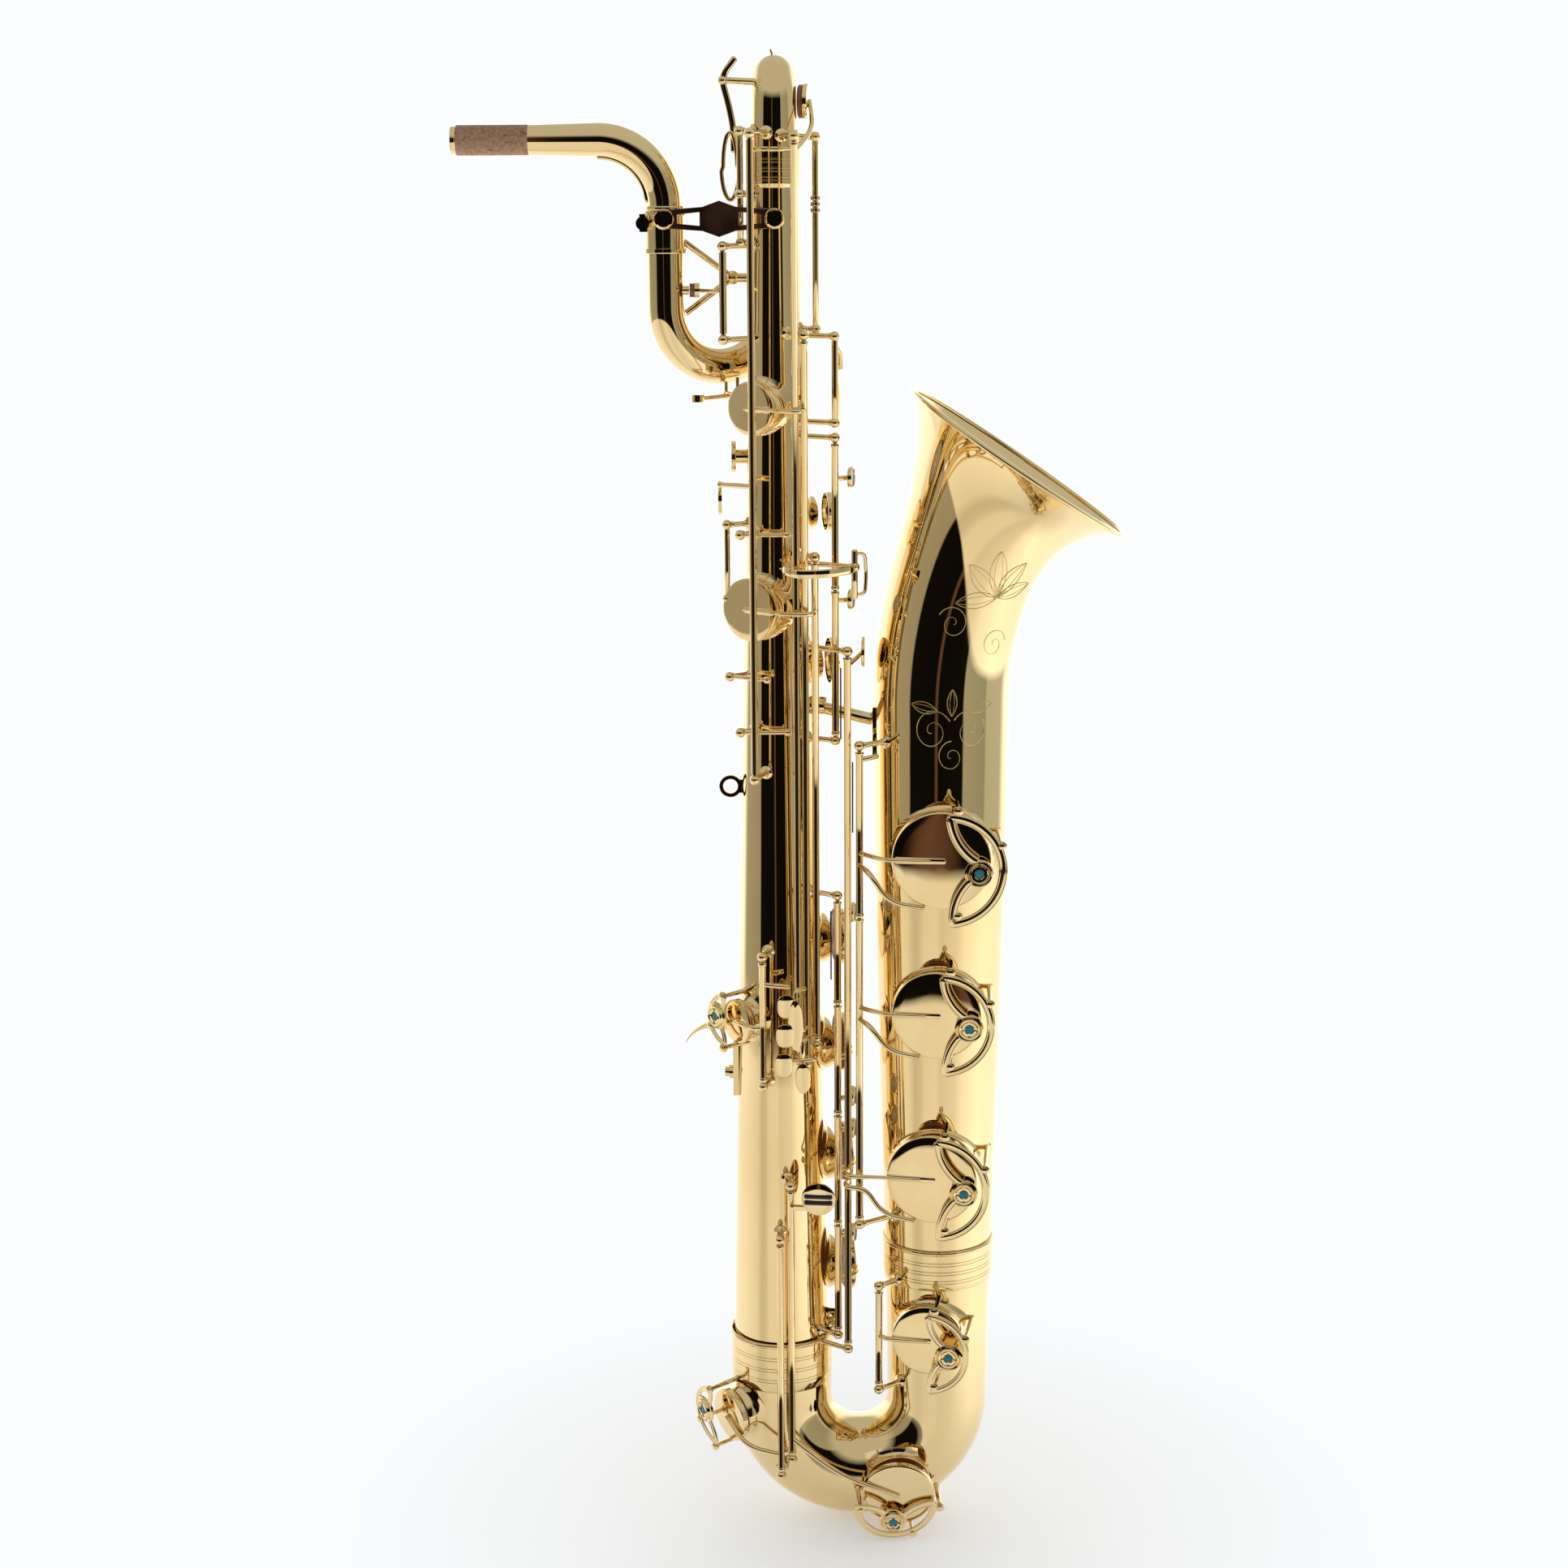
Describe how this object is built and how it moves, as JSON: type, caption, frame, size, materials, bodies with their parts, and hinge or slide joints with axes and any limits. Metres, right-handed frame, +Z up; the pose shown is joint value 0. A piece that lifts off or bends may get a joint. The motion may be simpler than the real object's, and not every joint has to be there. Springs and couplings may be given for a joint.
{
  "type": "baritone saxophone",
  "caption": "Low-A baritone saxophone with a looped crook, turning neck, hinged pad keys on steel rods, bell guards, strap ring and thumb hook.",
  "frame": {"origin": "lowest point of the bow, midway between the body's and the bell's axes", "axes": "+Z up along the body, +X forwards towards the bell, +Y to the player's left"},
  "size_m": [0.457, 0.18, 1.0535],
  "materials": {
    "brass": "polished, clear lacquer",
    "key_brass": "polished, clear lacquer",
    "steel": "polished",
    "spring_steel": "blued",
    "pad_leather": "smooth tan leather",
    "cork": "matt cork",
    "felt": "dense felt",
    "dark_brass": "bronzed, satin"
  },
  "bodies": {
    "body": {"body_tube": "brass", "bow": "brass", "bell_stack": "brass", "bell_flare": "brass", "bell_rim": "brass", "ferrules": "brass", "bell_brace": "brass", "top_bow": "brass", "crook_loop": "brass", "neck_receiver": "brass", "neck_clamp_screw": "brass", "neck_brace_plate": "dark_brass", "brace_screws": "brass", "loop_brace": "brass", "strap_ring": "brass", "thumb_hook": "brass", "thumb_hook_screw": "brass", "thumb_rest": "brass", "ball_posts": "brass", "hinge_rods": "steel", "bell_key_guards": "brass", "bow_key_guards": "brass", "guard_bumpers": "felt", "needle_springs": "spring_steel"},
    "neck": {"neck_tube": "brass", "neck_cork": "cork"},
    "low_a": {"low_a_key": "key_brass", "low_a_pad": "pad_leather"},
    "low_b_flat": {"low_b_flat_key": "key_brass", "low_b_flat_pad": "pad_leather"},
    "low_b": {"low_b_key": "key_brass", "low_b_pad": "pad_leather"},
    "low_c_sharp": {"low_c_sharp_key": "key_brass", "low_c_sharp_pad": "pad_leather"},
    "low_c": {"low_c_key": "key_brass", "low_c_pad": "pad_leather"},
    "e_flat": {"e_flat_key": "key_brass", "e_flat_pad": "pad_leather"},
    "trill": {"trill_key": "key_brass", "trill_pad": "pad_leather"},
    "side_c": {"side_c_key": "key_brass", "side_c_pad": "pad_leather"},
    "side_b_flat": {"side_b_flat_key": "key_brass", "side_b_flat_pad": "pad_leather"},
    "high_e": {"high_e_key": "key_brass", "high_e_pad": "pad_leather"},
    "f_sharp": {"f_sharp_key": "key_brass", "f_sharp_pad": "pad_leather"},
    "f": {"f_key": "key_brass", "f_pad": "pad_leather"},
    "e": {"e_key": "key_brass", "e_pad": "pad_leather"},
    "d": {"d_key": "key_brass", "d_pad": "pad_leather"},
    "g": {"g_key": "key_brass"},
    "b": {"b_key": "key_brass"},
    "octave_vent": {"octave_vent_key": "key_brass", "octave_vent_pad": "pad_leather"},
    "octave_lever": {"octave_lever": "key_brass"},
    "water": {"water_key": "key_brass"}
  },
  "joints": [
    {"name": "neck_turn", "type": "hinge", "parent": "body", "child": "neck", "pos_m": [-0.131, 0, 0.94], "axis": [0, 0, 1], "range_deg": [-30, 30]},
    {"name": "low_a_swing", "type": "hinge", "parent": "body", "child": "low_a", "pos_m": [-0.001, -0.04, 0.514], "axis": [0, 0, 1], "range_deg": [0, 5.8], "stiffness_Nm_per_rad": 0.25, "springref_deg": -20.05},
    {"name": "low_b_flat_swing", "type": "hinge", "parent": "body", "child": "low_b_flat", "pos_m": [-0.001, -0.04, 0.402], "axis": [0, 0, 1], "range_deg": [0, 5.8], "stiffness_Nm_per_rad": 0.25, "springref_deg": -20.05},
    {"name": "low_b_swing", "type": "hinge", "parent": "body", "child": "low_b", "pos_m": [-0.009, -0.034, 0.28], "axis": [0, 0, 1], "range_deg": [0, 5.8], "stiffness_Nm_per_rad": 0.25, "springref_deg": -20.05},
    {"name": "low_c_sharp_swing", "type": "hinge", "parent": "body", "child": "low_c_sharp", "pos_m": [0.013, -0.038, 0.154], "axis": [0, 0, 1], "range_deg": [-6, 0], "stiffness_Nm_per_rad": 0.25, "springref_deg": 20.05},
    {"name": "low_c_swing", "type": "hinge", "parent": "body", "child": "low_c", "pos_m": [-0.05, -0.047, 0.078], "axis": [0, 0, 1], "range_deg": [0, 5.8], "stiffness_Nm_per_rad": 0.25, "springref_deg": -20.05},
    {"name": "e_flat_swing", "type": "hinge", "parent": "body", "child": "e_flat", "pos_m": [-0.058, -0.049, 0.087], "axis": [0, 0, 1], "range_deg": [0, 6], "stiffness_Nm_per_rad": 0.25, "springref_deg": -20.05},
    {"name": "trill_swing", "type": "hinge", "parent": "body", "child": "trill", "pos_m": [-0.069, -0.043, 0.388], "axis": [0, 0, 1], "range_deg": [0, 8], "stiffness_Nm_per_rad": 0.25, "springref_deg": -20.05},
    {"name": "side_c_swing", "type": "hinge", "parent": "body", "child": "side_c", "pos_m": [-0.038, -0.038, 0.82], "axis": [0, 0, 1], "range_deg": [0, 9], "stiffness_Nm_per_rad": 0.25, "springref_deg": -20.05},
    {"name": "side_b_flat_swing", "type": "hinge", "parent": "body", "child": "side_b_flat", "pos_m": [-0.031, -0.033, 0.683], "axis": [0, 0, 1], "range_deg": [0, 9], "stiffness_Nm_per_rad": 0.25, "springref_deg": -20.05},
    {"name": "high_e_swing", "type": "hinge", "parent": "body", "child": "high_e", "pos_m": [-0.044, -0.041, 1], "axis": [0, 0, 1], "range_deg": [-8, 0], "stiffness_Nm_per_rad": 0.25, "springref_deg": 20.05},
    {"name": "f_sharp_swing", "type": "hinge", "parent": "body", "child": "f_sharp", "pos_m": [-0.016, -0.027, 0.439], "axis": [0, 0, 1], "range_deg": [0, 11.5], "stiffness_Nm_per_rad": 0.25, "springref_deg": -20.05},
    {"name": "f_swing", "type": "hinge", "parent": "body", "child": "f", "pos_m": [-0.016, -0.027, 0.36], "axis": [0, 0, 1], "range_deg": [0, 11.5], "stiffness_Nm_per_rad": 0.25, "springref_deg": -20.05},
    {"name": "e_swing", "type": "hinge", "parent": "body", "child": "e", "pos_m": [-0.016, -0.027, 0.276], "axis": [0, 0, 1], "range_deg": [0, 11.5], "stiffness_Nm_per_rad": 0.25, "springref_deg": -20.05},
    {"name": "d_swing", "type": "hinge", "parent": "body", "child": "d", "pos_m": [-0.016, -0.027, 0.192], "axis": [0, 0, 1], "range_deg": [0, 11.5], "stiffness_Nm_per_rad": 0.25, "springref_deg": -20.05},
    {"name": "g_swing", "type": "hinge", "parent": "body", "child": "g", "pos_m": [-0.017, -0.022, 0.64], "axis": [0, 0, 1], "range_deg": [0, 11.5], "stiffness_Nm_per_rad": 0.25, "springref_deg": -20.05},
    {"name": "b_swing", "type": "hinge", "parent": "body", "child": "b", "pos_m": [-0.017, -0.022, 0.745], "axis": [0, 0, 1], "range_deg": [0, 11.5], "stiffness_Nm_per_rad": 0.25, "springref_deg": -20.05},
    {"name": "octave_lever_swing", "type": "hinge", "parent": "body", "child": "octave_lever", "pos_m": [-0.073, -0.047, 0.77], "axis": [0, 0, 1], "range_deg": [-6, 0], "stiffness_Nm_per_rad": 0.25, "springref_deg": 20.05},
    {"name": "octave_vent_swing", "type": "hinge", "parent": "body", "child": "octave_vent", "pos_m": [-0.092, -0.019, 0.898], "axis": [0, 0, 1], "range_deg": [-9, 0]},
    {"name": "water_swing", "type": "hinge", "parent": "body", "child": "water", "pos_m": [-0.087, 0.008, 0.826], "axis": [-0.4662, 0.8847, 0], "range_deg": [-12, 0], "stiffness_Nm_per_rad": 0.1, "springref_deg": 20.05}
  ],
  "couplings": [
    {"joint": "octave_vent_swing", "follows": "octave_lever_swing", "ratio": 1.45}
  ]
}
